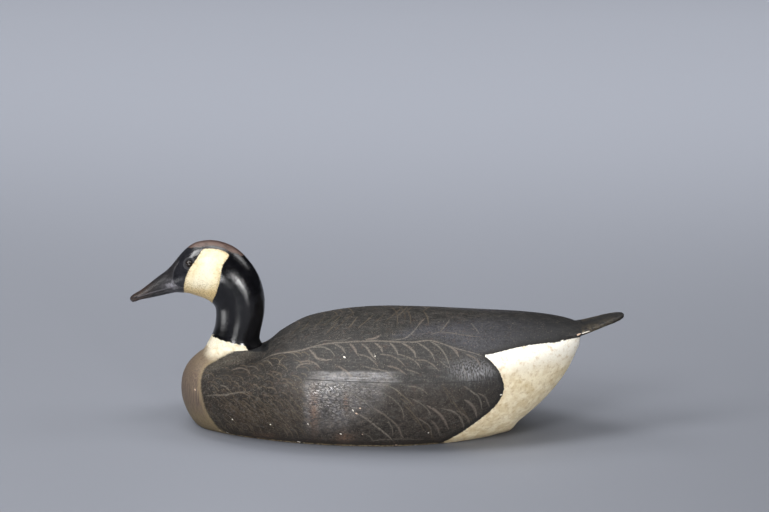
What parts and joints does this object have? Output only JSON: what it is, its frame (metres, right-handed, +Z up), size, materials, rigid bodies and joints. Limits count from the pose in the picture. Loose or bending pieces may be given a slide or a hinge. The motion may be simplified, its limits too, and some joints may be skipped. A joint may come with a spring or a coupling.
{
  "type": "goose decoy",
  "caption": "Life-size carved and painted wooden goose decoy with a flat underside, a glued body, a set-on head and neck and glass bead eyes.",
  "frame": {"origin": "the plane of the flat underside, at the middle of the bird's whole length and width", "axes": "+Z up, -X the way the bill points, +X to the tail, -Y the bird's left side"},
  "size_m": [0.6286, 0.23, 0.2402],
  "materials": {
    "back_paint": "satin",
    "flank_paint": "satin",
    "head_paint": "satin",
    "eye_glass": "gloss"
  },
  "bodies": {
    "root": {"upper_body": "back_paint", "lower_body": "flank_paint", "head_and_neck": "head_paint", "left_eye": "eye_glass", "right_eye": "eye_glass"}
  },
  "joints": []
}
